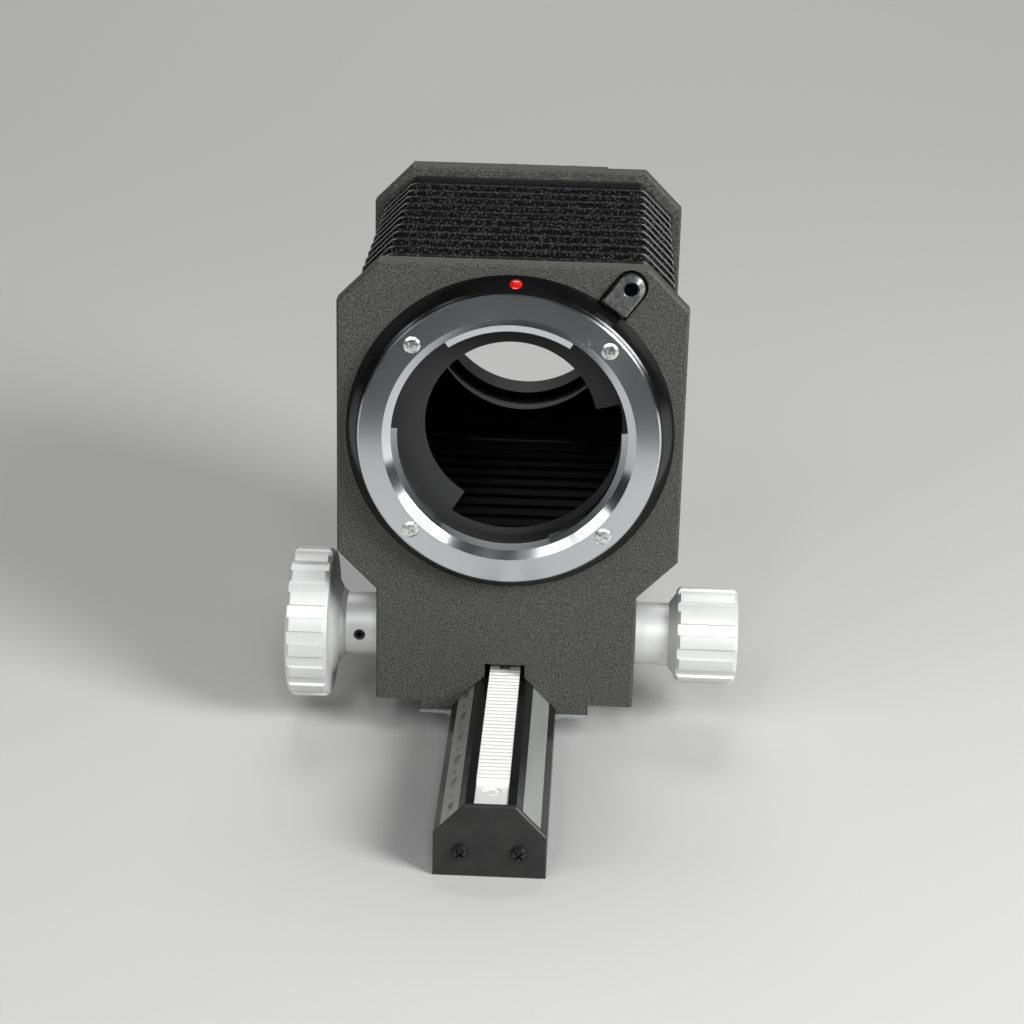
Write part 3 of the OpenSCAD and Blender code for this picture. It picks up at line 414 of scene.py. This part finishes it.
# nodes whose look differs from the rest of their slot
LOOKS = {
    "camera_bayonet": camera_chrome(),
    "bayonet_screws": SCREW_STEEL,
    "camera_bayonet_screws": SCREW_STEEL,
}


def slot_of(node):
    """The record's material slot of a CAD node."""
    return next(s["material_slot"] for s in frame["record"]["subparts"] if s["node"] == node)


def paint_nodes():
    for name, node in NODES.items():
        for used in node.material_slots:
            used.material = LOOKS.get(name, MATERIALS[slot_of(name)])


# ---------------------------------------------------------------- pieces
def add_object(name, data):
    made = bpy.data.objects.new(name, data)
    bpy.context.scene.collection.objects.link(made)
    return made


def smooth_piece(name, verts, faces, material):
    """A closed mesh from points in millimetres."""
    mesh = bpy.data.meshes.new(name)
    mesh.from_pydata([Vector(v) * MM for v in verts], [], faces)
    mesh.validate()
    bm = bmesh.new()
    bm.from_mesh(mesh)
    bmesh.ops.recalc_face_normals(bm, faces=bm.faces)
    bm.to_mesh(mesh)
    bm.free()
    mesh.polygons.foreach_set("use_smooth", [True] * len(mesh.polygons))
    mesh.materials.append(material)
    return add_object(name, mesh)


def rounded_octagon(half, corner, radius, steps=5):
    """Points round a square with cut corners, whose eight turns are rounded."""
    corners = [(corner - half, half), (half - corner, half), (half, half - corner),
               (half, corner - half), (half - corner, -half), (corner - half, -half),
               (-half, corner - half), (-half, half - corner)]
    points = []
    for i, here in enumerate(corners):
        here = Vector(here)
        back = (Vector(corners[i - 1]) - here).normalized()
        ahead = (Vector(corners[(i + 1) % 8]) - here).normalized()
        turn = math.pi - back.angle(ahead)
        cut = radius * math.tan(turn / 2)
        a = here + back * cut
        b = here + ahead * cut
        for k in range(steps + 1):
            t = k / steps
            points.append(a * (1 - t) ** 2 + here * 2 * t * (1 - t) + b * t ** 2)
    return points


def spread(points, count):
    """The same closed outline with count points at even distances."""
    lengths = [(points[(i + 1) % len(points)] - p).length for i, p in enumerate(points)]
    total = sum(lengths)
    out = []
    i = 0
    run = 0.0
    for k in range(count):
        want = total * k / count
        while run + lengths[i] < want:
            run += lengths[i]
            i += 1
        t = (want - run) / lengths[i]
        out.append(points[i].lerp(points[(i + 1) % len(points)], t))
    return out


def bellows_ring(k, grow, phases):
    """One ring of the bellows' points, counted from the front frame; grow is how far in it lies."""
    flanks = 2 * PLEATS
    t = k / FLANK_RINGS
    low = int(t)
    high = min(low + 1, flanks)
    part = t - low
    bent = part + FLANK_BEND * math.sin(2 * math.pi * part)
    rise = bent if low % 2 == 0 else 1 - bent
    fold = FOLD_DEPTH * (1 - rise)
    half = BELLOWS_HALF - fold - grow
    corner = BELLOWS_CORNER - (fold + grow) * (2 - math.sqrt(2))
    # the corners are rounder towards the roots
    outline = spread(rounded_octagon(half, corner, 1.1 + 0.12 * fold), POINTS_AROUND)
    y = BELLOWS_Y0 + (BELLOWS_Y1 - BELLOWS_Y0) * t / flanks
    # the folds don't wander where the frames hold them
    free = min(1.0, t / 2, (flanks - t) / 2)
    points = []
    for i, p in enumerate(outline):
        a = 2 * math.pi * i / POINTS_AROUND
        drift = 0.0
        for end, share in ((low, 1 - part), (high, part)):
            phase, size = phases[end]
            drift += share * size * (math.sin(3 * a + phase) + 0.6 * math.sin(7 * a + 2 * phase))
        points.append((p.x, y + WANDER * free * drift, p.y + LENS_Z))
    return points


def bellows():
    """The pleated leather tube, whose folds wander a little."""
    random_source = random.Random(7)
    phases = [(random_source.uniform(0, 6.28), random_source.uniform(0.5, 1.0))
              for _ in range(2 * PLEATS + 1)]
    rings = 2 * PLEATS * FLANK_RINGS
    verts = []
    for grow in (0, BELLOWS_WALL):
        for k in range(rings + 1):
            verts += bellows_ring(k, grow, phases)
    layer = (rings + 1) * POINTS_AROUND
    faces = []
    for k in range(rings):
        for i in range(POINTS_AROUND):
            j = (i + 1) % POINTS_AROUND
            near = k * POINTS_AROUND
            far = near + POINTS_AROUND
            faces.append((near + i, near + j, far + j, far + i))
            faces.append((layer + far + i, layer + far + j, layer + near + j, layer + near + i))
    for end in (0, rings * POINTS_AROUND):
        for i in range(POINTS_AROUND):
            j = (i + 1) % POINTS_AROUND
            faces.append((end + i, end + j, layer + end + j, layer + end + i))
    made = smooth_piece("bellows_leather_tube", verts, faces, MATERIALS["bellows_leather"])
    made.data.materials.append(MATERIALS["bellows_lining"])
    for face in made.data.polygons:
        face.material_index = int(min(face.vertices) >= layer)
    fold = made.data.attributes.new("fold", "FLOAT", "POINT")
    for i, at in enumerate(fold.data):
        at.value = i % layer // POINTS_AROUND / (2 * FLANK_RINGS)
    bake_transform(made)
    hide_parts("bellows")


def on_left_plate(across, y):
    """Takes a drawing's X and Y to the left scale plate; across runs up the slant from its middle.

    A drawing reads from the rail's front end to its rear, with its foot to the outside."""
    length = math.hypot(SLANT_RUN, SLANT_RISE)
    along = Vector((0, 1, 0))
    up = Vector((SLANT_RUN, 0, SLANT_RISE)) / length
    out = Vector((-SLANT_RISE, 0, SLANT_RUN)) / length
    middle = Vector((-RAIL_HALF_W, y, RAIL_SIDE_H)) + up * length / 2
    place = middle + up * across + out * PRINT_OUT
    return Matrix.Translation(place * MM) @ Matrix((along, up, out)).transposed().to_4x4()


def figure_mesh(number):
    """A number as a flat mesh round the origin, in millimetres."""
    curve = bpy.data.curves.new("figure", "FONT")
    curve.body = str(number)
    curve.size = FIGURE_SIZE
    curve.align_x = "CENTER"
    curve.align_y = "CENTER"
    curve.resolution_u = 3
    shape = add_object("figure", curve)
    bpy.context.view_layer.update()
    flat = bpy.data.meshes.new_from_object(shape.evaluated_get(bpy.context.evaluated_depsgraph_get()))
    bpy.data.objects.remove(shape)
    bpy.data.curves.remove(curve)
    return flat


def scale_figures():
    """The rail's scale: figures on the left plate, with a dot halfway between each two."""
    bm = bmesh.new()
    for number in range(30, 141, 10):
        flat = figure_mesh(number)
        flat.transform(on_left_plate(0, -number) @ Matrix.Scale(MM, 4))
        bm.from_mesh(flat)
        bpy.data.meshes.remove(flat)
    for y in range(-135, -24, 10):
        bmesh.ops.create_circle(bm, cap_ends=True, segments=16, radius=DOT_RADIUS * MM,
                                matrix=on_left_plate(DOT_ACROSS, y))
    bmesh.ops.recalc_face_normals(bm, faces=bm.faces)
    mesh = bpy.data.meshes.new("scale_figures")
    bm.to_mesh(mesh)
    bm.free()
    mesh.materials.append(plain_metal("printed_black", (0.012, 0.012, 0.012), 0.5, 0.0))
    made = add_object("scale_figures", mesh)
    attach(made, "rail_base")


# ---------------------------------------------------------------- stage
def stage_plane():
    """A seamless paper sweep: flat under the part, rising far behind it."""
    profile = [(PAPER_FRONT, 0.0), (BEND_START, 0.0)]
    for k in range(1, BEND_STEPS + 1):
        a = math.pi / 2 * k / BEND_STEPS
        profile.append((BEND_START + BEND_R * math.sin(a), BEND_R * (1 - math.cos(a))))
    profile.append((BEND_START + BEND_R, PAPER_TOP))
    verts = []
    for y, z in profile:
        verts += [(-PAPER_HALF_W, y, z), (PAPER_HALF_W, y, z)]
    faces = [(2 * k, 2 * k + 1, 2 * k + 3, 2 * k + 2) for k in range(len(profile) - 1)]
    mesh = bpy.data.meshes.new("paper")
    mesh.from_pydata(verts, [], faces)
    mesh.polygons.foreach_set("use_smooth", [True] * len(mesh.polygons))
    paper = Shader("paper", (0.60, 0.60, 0.595), 0.85, Specular_IOR_Level=0.1)
    mesh.materials.append(paper.material)
    made = add_object("paper", mesh)


def lamp(name, place, aim, width, power, height=None):
    data = bpy.data.lights.new(name, "AREA")
    data.energy = power
    data.shape = "RECTANGLE"
    data.size = width
    data.size_y = height or width
    made = add_object(name, data)
    made.location = place
    made.rotation_euler = (Vector(aim) - Vector(place)).to_track_quat("-Z", "Y").to_euler()


def lamps():
    lamp("right_front", (0.64, -0.543, 0.449), PART_MIDDLE, 0.35, 9.0)
    lamp("left_front", (-0.369, -0.699, 0.556), PART_MIDDLE, 0.45, 1.2)
    lamp("left", (-0.651, -0.551, 0.42), PART_MIDDLE, 0.25, 1.0)
    lamp("over_camera_right", (0.11, -0.797, 0.556), PART_MIDDLE, 0.05, 0.85, 0.40)
    lamp("over_camera_left", (-0.17, -0.797, 0.556), PART_MIDDLE, 0.05, 0.85, 0.40)
    lamp("backdrop", (0, 1.0, 1.6), (0, 1.4, 0), 1.0, 17.3)


def studio_world():
    world = bpy.data.worlds.new("studio")
    bpy.context.scene.world = world
    world.use_nodes = True
    background = world.node_tree.nodes["Background"]
    background.inputs["Color"].default_value = (0.95, 0.97, 1.0, 1)
    background.inputs["Strength"].default_value = 0.02


def camera():
    """The photograph's camera, solved together with the part's sizes."""
    yaw, pitch, roll = -0.0349, 0.3635, 0.0234
    ahead = Vector((math.sin(yaw) * math.cos(pitch), math.cos(yaw) * math.cos(pitch), -math.sin(pitch)))
    right = Vector((math.cos(yaw), -math.sin(yaw), 0))
    up = right.cross(ahead)
    x = math.cos(roll) * right + math.sin(roll) * up
    y = -math.sin(roll) * right + math.cos(roll) * up
    data = bpy.data.cameras.new("camera")
    data.sensor_width = 36
    data.lens = 87.76
    data.clip_start = 0.02
    data.clip_end = 20
    made = add_object("camera", data)
    turn = Matrix((x, y, -ahead)).transposed().to_4x4()
    made.matrix_world = Matrix.Translation(Vector((17.384, -563.215, 233.590)) * MM) @ turn
    bpy.context.scene.camera = made


paint_nodes()
bellows()
scale_figures()
stage_plane()
lamps()
studio_world()
camera()
bpy.context.scene.view_settings.view_transform = "Standard"
